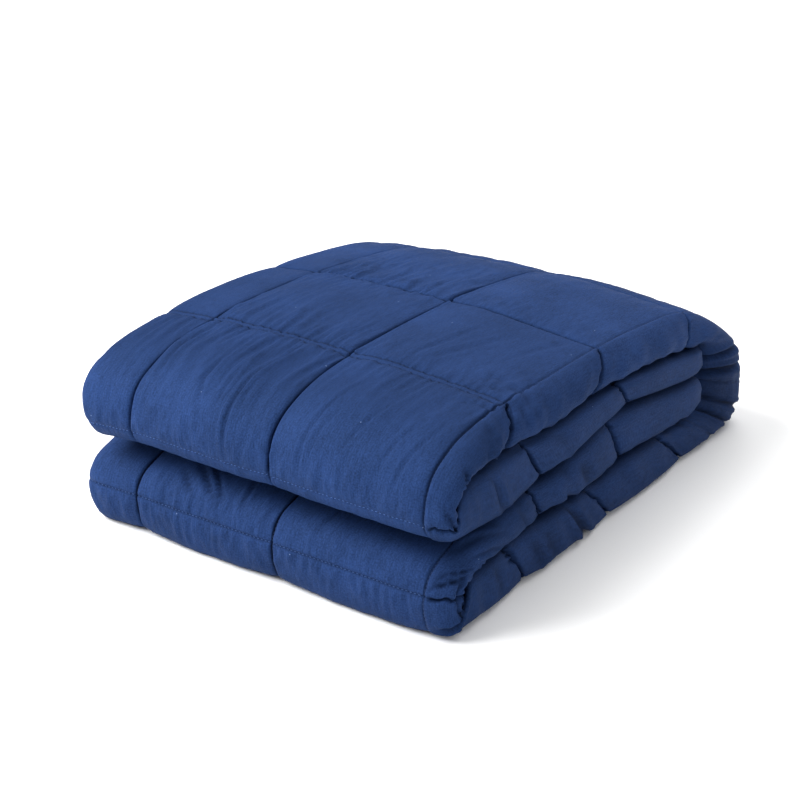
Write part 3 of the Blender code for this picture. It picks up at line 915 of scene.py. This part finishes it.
    # Folds
    puckers: tuple = (  # each row as in Puckers
        (0, 1, 0.024, 0.001), (0, -1, 0.012, 0.0008), (1, -1, 0.068, 0.002, -0.112, 0.019),
        (1, -1, 0.06, 0.001, 0.015, 0.15), (1, -1, 0.07, 0.0012, -0.17, -0.108),
        (1, 1, 0.055, 0.0017, -0.112, 0.01), (1, 1, 0.04, 0.0011, 0.01, 0.15),
        (2, -1, 0.03, 0.0012, -0.112, 0.019), (2, 1, 0.06, 0.0019, -0.112, 0.019),
        (2, 1, 0.03, 0.0008, 0.015, 0.15), (3, -1, 0.03, 0.0004), (3, 1, 0.04, 0.0004), (4, -1, 0.04, 0.0006),
        (4, 1, 0.035, 0.001), (8, -1, 0.022, 0.0013), (8, 1, 0.034, 0.0013, -0.112, 0.019),
        (8, 1, 0.03, 0.0007, 0.015, 0.15),
    )
    pucker_seeds: tuple = (100, 10)  # of the first row, and from row to row
    after_share: float = 0.9  # part of the folds that is pressed in again once the skin has settled
    creases: tuple = (  # each row as in Crease
        # the upper roll's right end
        (((0.41, 0.166), (0.27, 0.202)), 0.0062, 0.002), (((0.14, 0.158), (-0.08, 0.19)), 0.003, 0.0018),
        (((-0.06, 0.162), (0.04, 0.196)), -0.0022, 0.0022, 0.0),
        (((-0.25, 0.192), (0.25, 0.192)), 0.004, 0.0032), (((0.72, 0.156), (0.66, 0.186)), 0.0016, 0.0024),
        # the lower roll's right end
        (((8.16, 0.166), (7.62, 0.192)), 0.005, 0.0024), (((7.6, 0.194), (7.8, 0.17)), 0.008, 0.003),
        (((7.78, 0.18), (7.8, 0.15)), 0.006, 0.0026), (((8.05, 0.146), (8.15, 0.174)), 0.0034, 0.0016),
        (((8.11, 0.148), (8.24, 0.176)), 0.0026, 0.0016),
        (((8.08, 0.15), (8.18, 0.172)), -0.0018, 0.0018, 0.0),
        (((8.3, 0.148), (8.46, 0.156), (8.62, 0.17)), 0.0016, 0.0024, 0.6),
        (((8.3, 0.162), (8.52, 0.178)), 0.0018, 0.0024, 0.6),
        # the back roll's right end
        (((3.66, 0.16), (3.76, 0.21)), 0.006, 0.0032), (((3.84, 0.16), (3.93, 0.21)), 0.006, 0.003),
        (((4.19, 0.154), (4.13, 0.21)), 0.0052, 0.0024), (((4.36, 0.154), (4.24, 0.21)), 0.0052, 0.0026),
        (((4.62, 0.15), (4.5, 0.196)), 0.0024, 0.003),
        # the lowest layer and the two above it
        (((6.29, 0.15), (6.35, 0.194)), 0.0054, 0.004, 0.4),
        (((6.9, 0.15), (6.8, 0.184)), 0.0036, 0.0036, 0.5),
        (((5.6, 0.166), (5.66, 0.19)), 0.0018, 0.004, 0.5),
        (((6.72, 0.192), (6.63, 0.164)), 0.0026, 0.004, 0.4),
        (((7.3, 0.194), (7.22, 0.168)), 0.0022, 0.0036, 0.4),
        (((-0.55, 0.186), (-0.62, 0.16)), 0.0022, 0.003, 0.5),
        (((-1.3, 0.188), (-1.2, 0.156)), 0.0026, 0.0034, 0.5),
        (((-1.45, 0.19), (-1.38, 0.166)), 0.0018, 0.003, 0.5),
        (((9.4, 0.152), (9.28, 0.19)), 0.0034, 0.0034, 0.5),
        (((9.62, 0.152), (9.5, 0.186)), 0.0026, 0.0034, 0.5),
        (((8.86, 0.152), (8.78, 0.184)), 0.0024, 0.003, 0.5),
        # gathers where the first cross seam meets the end seam
        (((1.14, 0.112), (1.1, 0.131), (1.07, 0.149), (1.11, 0.162), (1.2, 0.178)), 0.0016, 0.0018, 0.7),
        (((1.25, 0.112), (1.18, 0.137), (1.18, 0.152), (1.22, 0.165), (1.28, 0.178)), 0.0016, 0.0018, 0.7),
        (((1.4, 0.124), (1.32, 0.142), (1.32, 0.158), (1.38, 0.174)), 0.0012, 0.002, 0.7),
        (((0.86, 0.12), (0.9, 0.142), (0.86, 0.16)), 0.002, 0.0022, 0.7),
        (((0.74, 0.15), (0.78, 0.166), (0.74, 0.182)), 0.0022, 0.0022, 0.7),
        # long soft folds on the top and on the upper roll
        (((1.04, 0.05), (1.33, 0.0635), (1.78, 0.071)), 0.0005, 0.0024, 0.7),
        (((1.05, 0.064), (1.33, 0.078), (1.74, 0.095)), 0.0005, 0.0024, 0.7),
        (((1.42, 0.112), (1.72, 0.119), (1.96, 0.128)), 0.0005, 0.0026, 0.7),
        (((0.03, 0.0438), (0.23, 0.0438), (0.42, 0.0456), (0.66, 0.05), (0.82, 0.06)), 0.0008, 0.0014, 0.7),
        (((0.18, 0.052), (0.34, 0.053), (0.52, 0.058)), 0.0005, 0.0014, 0.7),
        (((0.22, 0.074), (0.43, 0.0796), (0.68, 0.089)), 0.0007, 0.0014, 0.7),
        (((0.12, 0.119), (0.35, 0.1243), (0.58, 0.131)), 0.0009, 0.0015, 0.7),
        (((0.2, 0.106), (0.4, 0.11), (0.62, 0.118)), 0.0007, 0.0015, 0.7),
        (((0.82, -0.018), (0.54, -0.0245), (0.22, -0.0225), (0.04, -0.0195)), 0.0019, 0.0016, 0.7),
        (((0.8, -0.056), (0.43, -0.058), (0.22, -0.0455)), 0.0014, 0.0017, 0.6),
        (((0.92, -0.094), (0.64, -0.103), (0.33, -0.0957)), 0.0012, 0.0018, 0.6),
        (((0.7, -0.038), (0.44, -0.036), (0.2, -0.034)), 0.0009, 0.0014, 0.6),
        # the lower roll
        (((8.34, -0.072), (8.1, -0.034)), 0.003, 0.002, 0.5),
        (((8.34, -0.056), (8.12, -0.03)), 0.0026, 0.0018, 0.5),
        (((8.24, -0.078), (8.1, -0.056)), 0.0022, 0.0018, 0.5),
        (((8.4, -0.02), (8.1, -0.012)), 0.0016, 0.0018, 0.5),
        (((8.14, 0.052), (8.45, 0.062)), 0.0012, 0.0018),
    )
    crease_shade: float = 170.0  # how much shade is painted in a crease, for each metre of its depth

    # Painted shade and light, and wear
    slit_shade: tuple = (0.55, 1.0, 0.55)  # shares of the thickness between which shade is painted on an end beside its slits, and how dark
    hollow_shade: tuple = (4.05, 0.5, 0.55)  # place, reach and darkness of the painted shade in the back roll's hollow
    hollow_edge: tuple = (0.158, 0.194)
    paleness_everywhere: float = 0.4
    paleness_most: float = 1.2
    rubbed_and_painted_light_places: tuple = (  # place, width, strength: wear and painted light on the folds' fronts, painted sheen on the top towards the back, painted shade where negative
        (0.06, 0.32, 0.75), (8.02, 0.3, 0.6), (2.7, 0.7, 0.75), (0.68, 0.2, -0.4), (-0.28, 0.2, -0.6),
        (8.62, 0.25, -0.5),
    )

    def __post_init__(self) -> None:
        """Lay out the grid of places along the run and of columns round the strip."""
        ends = [place for place, _ in self.steps[1:]] + [LAST_PLACE]
        self.along = np.unique(np.concatenate([
            lines_between(start * POCKET, end * POCKET, CROSS_SEAMS, step, self.beside_cross_seam)
            for (start, step), end in zip(self.steps, ends)
        ]).round(self.decimals))
        self.places = self.along / POCKET
        self.seams = np.round(self.places)[:, None]
        self.off = self.along[:, None] - self.seams * POCKET
        flat = lines_between(-FLAT_WIDTH, FLAT_WIDTH, LENGTH_SEAMS, self.step_across, self.beside_length_seam)
        turns = np.linspace(math.pi / 2, -math.pi / 2, self.arc_points + 2)
        outline = np.stack((np.cos(turns) * END_ROUND, np.sin(turns) * LAYER_THICKNESS / 2), axis=1)
        round_end = FLAT_WIDTH + FoldedRun.distances(outline)
        inner = np.linspace(1, -1, self.inner_points + 2)[1:-1]
        under = round_end[-1] + (1 - inner) * FLAT_WIDTH
        # Every column: the flat width that it starts from, its turn round the end, which end and its distance
        end = np.ones(len(turns) - 1)
        self.flat = np.concatenate((flat, end * FLAT_WIDTH, inner * FLAT_WIDTH, -end * FLAT_WIDTH))
        self.turn = np.concatenate((flat * 0 + turns[0], turns[1:], inner * 0 + turns[-1], turns[:0:-1]))
        self.side = np.concatenate((flat * 0, end, inner * 0, -end))
        self.across = np.concatenate((flat, round_end[1:], under, -round_end[:0:-1]))
        self.out, self.share = self.end_sections()

    def end_sections(self) -> tuple[Array, Array]:
        """Return how far each point lies out round an end, and its share of the thickness.

        Returns:
            The reach beyond the flat width, from -1 on the left to 1 on the right, and the share, which is 1
            on the outer face and -1 on the inner one.
        """
        table = np.array(self.right_profiles)
        widest, outer, inner = (np.interp(self.places, table[:, 0], table[:, i])[:, None] for i in (1, 2, 3))
        widest = np.where(self.side < 0, 0.0, widest)
        power = 2 / np.where(self.side < 0, self.left_squareness, np.where(self.turn >= 0, outer, inner))
        out = np.abs(np.cos(self.turn)) ** power
        part = np.abs(np.sin(self.turn)) ** power
        share = np.where(self.turn >= 0, widest + (1 - widest) * part, widest - (1 + widest) * part)
        return out * self.side, share

    def pillow(self, distance: Array) -> Array:
        """Return a pocket's height over its seam.

        Args:
            distance: Distance from the seam.

        Returns:
            The height, from 0 on the seam to 1 in the pocket's middle.
        """
        shoulder = 1 - falloff(distance, self.shoulder, 1)
        swell = np.sin(math.pi / 2 * np.minimum(distance / (POCKET / 2), 1.0))
        return self.shoulder_share * shoulder + (1 - self.shoulder_share) * swell

    def quilting(self, x: Array) -> Array:
        """Return how far the outer face lies above its seams' level.

        Args:
            x: X of each point.

        Returns:
            The height in metres.
        """
        to_cross = np.abs(self.places[:, None] - self.seams) * POCKET
        to_length = np.min([np.abs(x - seam) for seam in LENGTH_SEAMS], axis=0)
        height = self.pillow(to_length) * (1 - self.cross_share * (1 - self.pillow(to_cross)))
        beyond = ramp(x, RIGHT_SEAM, RIGHT_SEAM + self.edge)
        return (self.crown * self.shown() * height - self.channel) * (1 - beyond)

    def reach(self, end: End) -> Array:
        """Return how far an end of the strip lies from the middle of the stack.

        Args:
            end: Which end.

        Returns:
            The distance at each place.
        """
        seams = self.seams[:, 0]
        to_cross = np.abs(self.places - seams) * POCKET
        to_tip = np.minimum(self.places - FIRST_PLACE, LAST_PLACE - self.places) * POCKET
        reach = HALF_WIDTH - self.tip_narrowing * np.maximum(0.0, 1 - to_tip / self.form.tip_length) ** 2
        rolled = np.isin(seams, self.roll_seams)
        share = np.where(rolled, self.roll_dip_share, 1.0) * (to_tip > self.dip_width)
        dip = np.maximum(0.0, 1 - to_cross / self.dip_width) ** self.dip_power
        reach = reach - self.end_dips[end] * share * dip
        if end is End.LEFT:
            for middle, depth in self.tucks:
                reach = reach - depth * (1 - ramp(np.abs(self.places - middle), 0.0, self.tuck_reach))
        return reach

    def sag(self, x: Array, y: Array) -> Array:
        """Return the part of its height that the stack loses.

        Args:
            x: X of each point.
            y: Y of each point.

        Returns:
            The part.
        """
        return sum(part * ramp(end.value * x, *wide) * ramp(y, *deep) for end, part, wide, deep in self.sags)

    def smooth_points(self) -> Array:
        """Work out the cloth's form before its creases.

        Returns:
            Its points by place and column.
        """
        outer, outward = self.form.outer().at(self.places)
        inner, _ = self.form.inner().at(self.places)
        right, left = ((self.reach(end) - FLAT_WIDTH)[:, None] for end in (End.RIGHT, End.LEFT))
        x = self.flat + self.out * np.where(self.out >= 0, right, left)
        share = self.share[..., None]
        middle = (outer[:, None] * (1 + share) + inner[:, None] * (1 - share)) / 2
        raised = self.quilting(x) * np.maximum(self.share, 0.0)
        section = middle + outward[:, None] * raised[..., None]
        y, z = section[..., 0], section[..., 1]
        points = np.stack((x, y, np.maximum(z * (1 - self.sag(x, y)), 0.0)), axis=2)
        points[..., 1] -= (points[..., 1].min() + points[..., 1].max()) / 2
        return points

    def distances(self) -> tuple[Array, Array]:
        """Return every point's distance along the run and across the strip."""
        return tuple(np.broadcast_arrays(self.along[:, None], self.across[None, :]))

    def shown(self) -> Array:
        """Return 1 at the places where the outer face is outside the stack, and 0 where it lies in a slit."""
        shown = ramp(self.places, *self.opening_places) * (1 - ramp(self.places, *self.closing_places))
        return shown[:, None]

    def open_face(self) -> Array:
        """Return 1 where the outer face shows, and 0 where it is hidden or turned inwards."""
        return self.shown() * ramp(self.share, *self.face_shares)

    def crossed_face(self) -> Array:
        """Return 1 where cross seams show: on the open outer face, and round the left end."""
        round_left = (self.side < 0) * ramp(self.share, *self.left_face_shares)
        return np.maximum(self.open_face(), round_left * (1 + self.shown()) / 2)

    def sewn_valleys(self) -> tuple[Array, Array]:
        """Work out the seams' relief.

        Returns:
            How far it raises each point of the cloth, and how much shade is painted there.
        """
        across = self.distances()[1]
        face = self.open_face()
        height, shade = np.zeros(across.shape), np.zeros(across.shape)
        lower = np.where(self.places > self.lower_start, self.lower_line_share, 1.0)[:, None]
        start, end, loss = self.end_line_fade
        faded = loss * ramp(self.places, start, end) * (self.places < self.lower_start)
        for seam in LENGTH_SEAMS:
            off = across - seam
            share = self.end_line_share * (1 - faded)[:, None] if seam == RIGHT_SEAM else 1.0
            line = self.seam_line[0] * falloff(off, self.seam_line[1])
            left = self.left_dip[0] * falloff(-off, self.left_dip[1], 1) * (off <= 0)
            lip = self.right_lip[0] * falloff(off - self.right_lip[1], self.right_lip[2]) * (off > 0)
            height += face * share * lower * (lip - line - left)
            # painted shade along the seam's groove
            shade = np.maximum(shade, face * (share**0.5 * falloff(off, *self.line_shade)))
        seams, off = self.seams, self.off
        beside = np.abs(np.abs(off) - np.where(np.isin(seams, self.double_seams), self.seam_rows, 0.0))
        named, *parts = np.array(self.cross_lines).T
        depth, width = (np.interp(seams, named, part) for part in parts)
        dip = self.cross_dip[0] * falloff(np.abs(off), self.cross_dip[1], 1)
        near_side = (off < 0) * np.isin(seams, self.lipped_seams)
        height += face * near_side * self.cross_lip[0] * falloff(off + self.cross_lip[1], self.cross_lip[2])
        crossed = self.crossed_face() * ((seams > FIRST_PLACE) & (seams < LAST_PLACE))
        height -= crossed * (depth * falloff(beside, width, 1) + dip * ~np.isin(seams, self.roll_seams))
        # painted shade along the cross seams
        dark = np.interp(seams, *np.array(self.cross_shades).T)
        return height, np.maximum(shade, crossed * dark * falloff(beside, width))

    def end_cuts(self) -> tuple[Array, Array]:
        """Work out the cuts that the cross seams make in the right end.

        Returns:
            How far they raise each point of the cloth, and how much shade is painted there.
        """
        across = self.distances()[1]
        right_end = ramp(across, *self.cut_edge) * (np.abs(self.share) < self.cut_limit) * (self.side > 0)
        bow = self.cut_bow * ((1 - self.share) / 2) ** 2 * np.isin(self.seams, self.bowed_seams)
        far, patch, shift, seed = self.cut_jag
        jag = far * soft_noise(across / patch, self.seams * shift, seed)
        off = np.abs(self.off - bow + jag)
        whole = np.ones(self.seams.shape)
        for seam, share in self.cut_shares:
            whole[self.seams == seam] = share
        part = right_end * whole
        depth, width, power = self.cut
        # the cuts' depth, and painted shade along them
        return -part * depth * falloff(off, width, power), part**0.5 * falloff(off, self.cut_shade)

    def unevenness(self) -> Array:
        """Work out the relief of the filling's lumps and of the gathered ends.

        Returns:
            How far it raises each point of the cloth.
        """
        along, across = self.distances()
        outer = ramp(self.share, *self.face_shares)
        height = np.zeros(along.shape)
        for part, lumps in ((outer, self.lumps), ((self.side != 0) * (1 - outer), self.end_lumps)):
            for size, width, length, seed in lumps:
                height += part * size * soft_noise(across / width, along / length, seed)
        right = self.side > 0
        size, width, length, reach = self.cut_gathers
        shift, seed = self.cut_gather_seeds
        beside = right * ramp(across, *self.cut_gather_edge) * falloff(np.abs(self.off), reach, 1)
        height += size * beside * soft_noise(across / width, self.off / length + shift * self.seams, seed)
        spacing, length, sharpness, seed = self.gather_ridges
        noise = soft_noise(along / spacing, across / length, seed)
        ridges = falloff(np.abs(noise), sharpness, 1) - RIDGE_LEVEL
        inner_side = right * ramp(across, *self.gather_edge)
        for middle, reach, size in self.gathers:
            height += falloff(self.places - middle, reach)[:, None] * inner_side * size * ridges
        return height

    def relief(self) -> tuple[Array, Array]:
        """Add up the reliefs.

        Returns:
            How far each point of the cloth stands out from its smooth form, and how much shade is painted
            there.
        """
        along, across = self.distances()
        height, shade = self.sewn_valleys()
        cut, cut_shade = self.end_cuts()
        height += cut + self.unevenness() + self.after_share * self.folds()
        right = self.side > 0
        # painted shade in the back roll's hollow and on the ends beside the slits between layers
        middle, reach, dark = self.hollow_shade
        inside = right * ramp(across, *self.hollow_edge) * falloff(self.places - middle, reach)[:, None]
        start, end, slit_dark = self.slit_shade
        facing = np.where(self.share < 0, 1.0, 1 - self.shown())
        slit = slit_dark * facing * right * ramp(np.abs(self.share), start, end)
        shade = np.maximum(shade, cut_shade) + np.maximum(dark * inside, slit)
        # each crease sinks the cloth, with shade painted in it by its depth
        for row in self.creases:
            sunk_and_painted_shade = Crease(*row).relief(along, across)
            height += sunk_and_painted_shade
            shade = np.maximum(shade, -sunk_and_painted_shade * self.crease_shade)
        return height, np.clip(shade, 0.0, 1.0)

    def surface(self, spots: Array) -> tuple[Array, Array]:
        """Return points on the finished cloth and its normals there.

        Args:
            spots: Distance along and across of each, one row each, on the outer face.

        Returns:
            Points and unit normals, one row each.
        """
        order = np.argsort(self.across)
        row = np.clip(np.searchsorted(self.along, spots[:, 0]) - 1, 0, len(self.along) - 2)
        column = np.clip(np.searchsorted(self.across[order], spots[:, 1]) - 1, 0, len(order) - 2)
        low, high = order[column], order[column + 1]
        up = ((spots[:, 0] - self.along[row]) / (self.along[row + 1] - self.along[row]))[:, None]
        right = ((spots[:, 1] - self.across[low]) / (self.across[high] - self.across[low]))[:, None]
        found = []
        for grid in (self.points, self.outward(self.points)):
            near = grid[row, low] * (1 - right) + grid[row, high] * right
            far = grid[row + 1, low] * (1 - right) + grid[row + 1, high] * right
            found.append(near * (1 - up) + far * up)
        return found[0], found[1] / np.linalg.norm(found[1], axis=1)[:, None]

    @staticmethod
    def outward(points: Array) -> Array:
        """Return the unit normals of a grid that closes on itself round the strip.

        Args:
            points: The grid's points by place and column.

        Returns:
            The normals, by place and column.
        """
        along = np.gradient(points, axis=0)
        across = np.roll(points, -1, axis=1) - np.roll(points, 1, axis=1)
        normal = np.cross(across, along)
        return normal / np.maximum(np.linalg.norm(normal, axis=2), TINY)[..., None]

    def rubbing_and_painted_light(self) -> Array:
        """Return how pale each place is: wear and painted light on a fold's front, painted sheen on the top
        towards the back, and painted shade, where negative, on the crest and under the rolls.
        """
        spots = [peak * falloff(self.places - middle, width) for middle, width, peak in self.rubbed_and_painted_light_places]
        return np.clip(self.paleness_everywhere + sum(spots), 0.0, self.paleness_most)

    def folds(self) -> Array:
        """Work out the relief of the seams' puckers.

        Returns:
            How far it raises each point of the cloth.
        """
        first, step = self.pucker_seeds
        rows = enumerate(self.puckers)
        height = sum(Puckers(*row).relief(*self.distances(), first + step * i) for i, row in rows)
        return height * self.open_face()

    def build(self) -> bpy.types.Object:
        """Build the cloth's mesh, with a UV map in metres that follows it.

        Returns:
            The blanket's object.
        """
        smooth = self.smooth_points()
        outward = self.outward(smooth)
        folds = outward * self.folds()[..., None]
        order = np.argsort(self.across)
        lines = (self.along, self.across[order])
        folds[:, order] = self.settling.moves(lines, smooth[:, order], folds[:, order])
        relief, shade = self.relief()
        self.points = smooth + folds + outward * relief[..., None]
        self.points[..., 2] = np.maximum(self.points[..., 2], 0.0)
        rings, columns = self.points.shape[:2]
        index = np.arange(rings * columns).reshape(rings, columns)
        after = np.roll(index, -1, axis=1)
        quads = np.stack((index[:-1], after[:-1], after[1:], index[1:]), axis=2).reshape(-1, 4)
        faces = [*quads.tolist(), index[0][::-1].tolist(), index[-1].tolist()]
        # attributes: wear with painted light and painted shade, and painted shade in seams, cuts, creases,
        # slits and the hollow
        values = {"rubbed_and_painted_light": np.repeat(self.rubbing_and_painted_light(), columns), "sunk_and_painted_shade": shade}
        piece = new_piece(self.name, self.points, faces, NavyCotton().material(), values)
        flat = np.stack(self.distances()[::-1], axis=2).reshape(-1, 2)
        corners = np.zeros(len(piece.data.loops), int)
        piece.data.loops.foreach_get("vertex_index", corners)
        layer = piece.data.uv_layers.new(name="cloth_metres")
        layer.data.foreach_set("uv", flat[corners].astype(np.float32).ravel())
        return piece


@dataclass
class Stitching:
    """The quilting thread, as short stitches that lie in the cloth's sewn lines."""

    name: str = "seam_stitches"
    pitch: float = 0.0033
    unevenness: float = 0.00012
    seed: int = 5
    length: float = 0.0022
    radius: float = 0.00026
    lift: float = 0.0001
    sides: int = 6
    bulges: tuple = ((-1.0, 0.0), (-0.6, 1.0), (0.6, 1.0), (1.0, 0.0))  # place along it, share of its radius
    seams: tuple = (0, 1, 2, 3, 4, 8)
    end_seams: tuple = (-2, -1, 5, 6, 7, 9, 10)  # sewn where only their left end shows
    end_across: tuple = (-0.188, -0.148)
    shade: float = 0.7  # how much shade is painted on the thread where it lies in a seam
    seam_shades: tuple = ((0, 0.0), (1, 0.85), (2, 1.0), (3, 1.0), (8, 0.35))  # where that differs
    across: tuple = (-0.188, 0.1435)
    along: tuple = ((-0.5, 4.8), (7.4, 8.75))

    def lines(self, blanket: QuiltedBlanket) -> list[tuple]:
        """Return each line of stitching as its start and end, in distances along and across, and its shade.

        Args:
            blanket: The cloth that is sewn.

        Returns:
            The lines.
        """
        lines = []
        for seam in self.seams:
            shade = dict(self.seam_shades).get(seam, self.shade)
            for side in (-1, 1) if seam in blanket.double_seams else (0,):
                place = seam * POCKET + side * blanket.seam_rows
                lines.append((*((place, across) for across in self.across), shade))
        for seam in self.end_seams:
            lines.append((*((seam * POCKET, across) for across in self.end_across), self.shade))
        for seam in LENGTH_SEAMS:
            lines.extend((*((place * POCKET, seam) for place in along), self.shade) for along in self.along)
        return lines

    def build(self, blanket: QuiltedBlanket) -> bpy.types.Object:
        """Build all stitches as one mesh.

        Args:
            blanket: The cloth that they lie on.

        Returns:
            The stitches' object.
        """
        random = np.random.default_rng(self.seed)
        middles, starts, ends, shades = [], [], [], []
        for start, end, shade in self.lines(blanket):
            start, end = np.array(start), np.array(end)
            span = np.linalg.norm(end - start)
            step = (end - start) / span
            count = int(span / self.pitch)
            gone = (np.arange(count) + 0.5) * self.pitch + random.normal(0.0, self.unevenness, count)
            shades.append(np.full(count, shade))
            for kept, reach in ((middles, 0.0), (starts, -self.length / 2), (ends, self.length / 2)):
                kept.append(start + (gone + reach)[:, None] * step)
        middles, starts, ends = (np.concatenate(kept) for kept in (middles, starts, ends))
        middle, normal = blanket.surface(middles)
        tangent = blanket.surface(ends)[0] - blanket.surface(starts)[0]
        tangent /= np.linalg.norm(tangent, axis=1)[:, None]
        normal -= (normal * tangent).sum(axis=1)[:, None] * tangent
        normal /= np.linalg.norm(normal, axis=1)[:, None]
        sideways = np.cross(normal, tangent)
        rings = []
        for reach, bulge in self.bulges:
            turns = np.arange(self.sides) * 2 * math.pi / self.sides if bulge else np.zeros(1)
            turns = turns[None, :, None]
            centre = middle + tangent * reach * self.length / 2 + normal * self.lift * (1 if bulge else -1)
            rim = np.cos(turns) * sideways[:, None] + np.sin(turns) * normal[:, None]
            rings.append(centre[:, None] + bulge * self.radius * rim)
        points = np.concatenate(rings, axis=1)
        every = np.arange(len(points))[:, None] * points.shape[1]
        polygons = [polygon for face in self.faces() for polygon in (np.array(face) + every).tolist()]
        sunk_and_painted_shade = np.repeat(np.concatenate(shades)[:, None], points.shape[1], axis=1)
        sunk_and_painted_shade[:, [0, -1]] = 1.0  # painted shade at the needle's holes
        return new_piece(self.name, points, polygons, SewingThread().material(), {"sunk_and_painted_shade": sunk_and_painted_shade})

    def faces(self) -> list[tuple]:
        """List one stitch's faces.

        Returns:
            Rows of its points' numbers, which make a tube between two points.
        """
        first, second, last = 1, 1 + self.sides, 1 + 2 * self.sides
        faces = []
        for i in range(self.sides):
            after = (i + 1) % self.sides
            faces.append((0, first + after, first + i))
            faces.append((first + i, first + after, second + after, second + i))
            faces.append((last, second + i, second + after))
        return faces


# The studio


@dataclass
class Studio:
    """The photograph's camera and a plain soft studio."""

    azimuth: float = 35.2512
    elevation: float = 23.4854
    distance: float = 1.25972
    target: tuple = (0.0091, -0.0626, 0.08)
    focal_pixels: float = 1672.7
    image_side: int = 800
    sensor: float = 36.0
    floor_side: float = 12.0
    floor_height: float = -0.0003
    softboxes: tuple = (  # name, place, side, power in watts, and the point that it faces
        ("key_softbox", (-1.3, -1.1, 1.6), 1.7, 96.0, (0.0, 0.0, 0.07)),
        ("fill_softbox", (1.96, -0.35, 1.22), 1.4, 8.0, (0.0, 0.0, 0.07)),
        ("ceiling_panel", (0.0, 2.6, 3.6), 4.0, 140.0, (0.0, 2.0, 0.0)),
    )
    air: float = 0.38  # strength of the white light from all round

    def stand(self, data: bpy.types.ID, place: Vector, aim: Vector) -> bpy.types.Object:
        """Stand a camera or a light up.

        Args:
            data: The camera or the light.
            place: Where it stands.
            aim: The direction in which it looks.

        Returns:
            Its object.
        """
        made = bpy.data.objects.new(data.name, data)
        made.location = place
        made.rotation_mode = "QUATERNION"
        made.rotation_quaternion = aim.to_track_quat("-Z", "Y")
        bpy.context.scene.collection.objects.link(made)
        return made

    def camera(self) -> None:
        """Set up the camera at the photograph's angle."""
        turn, rise = math.radians(self.azimuth), math.radians(self.elevation)
        back = Vector((math.sin(turn) * math.cos(rise), -math.cos(turn) * math.cos(rise), math.sin(rise)))
        data = bpy.data.cameras.new("photo_camera")
        data.sensor_width = self.sensor
        data.lens = self.focal_pixels * self.sensor / self.image_side
        bpy.context.scene.camera = self.stand(data, Vector(self.target) + back * self.distance, -back)

    def floor(self) -> None:
        """Lay the pale floor."""
        bpy.ops.object.select_all(action="DESELECT")
        bpy.ops.mesh.primitive_plane_add(size=self.floor_side, location=(0.0, 0.0, self.floor_height))
        made = bpy.context.object
        made.name = "studio_floor"
        made.data.materials.append(PaleFloor().material())

    def build(self) -> None:
        """Build the studio."""
        self.camera()
        self.floor()
        for name, place, side, power, aim in self.softboxes:
            data = bpy.data.lights.new(name, "AREA")
            data.shape = "SQUARE"
            data.size = side
            data.energy = power
            self.stand(data, Vector(place), Vector(aim) - Vector(place))
        scene = bpy.context.scene
        scene.world = bpy.data.worlds.new("studio_air")
        scene.world.use_nodes = True
        inputs = scene.world.node_tree.nodes["Background"].inputs
        inputs["Color"].default_value = (1.0, 1.0, 1.0, 1.0)
        inputs["Strength"].default_value = self.air
        scene.view_settings.view_transform = "Standard"


def main() -> None:
    """Build the blanket and the studio round it."""
    logging.basicConfig(level=logging.INFO, format="%(message)s")
    blanket = QuiltedBlanket()
    piece = blanket.build()
    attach(piece, BODY)
    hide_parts(CLOTH_NODE)
    LOG.info("%s: %d faces", piece.name, len(piece.data.polygons))
    thread = Stitching().build(blanket)
    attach(thread, BODY)
    LOG.info("%s: %d faces", thread.name, len(thread.data.polygons))
    Studio().build()


if __name__ == "__main__":
    main()
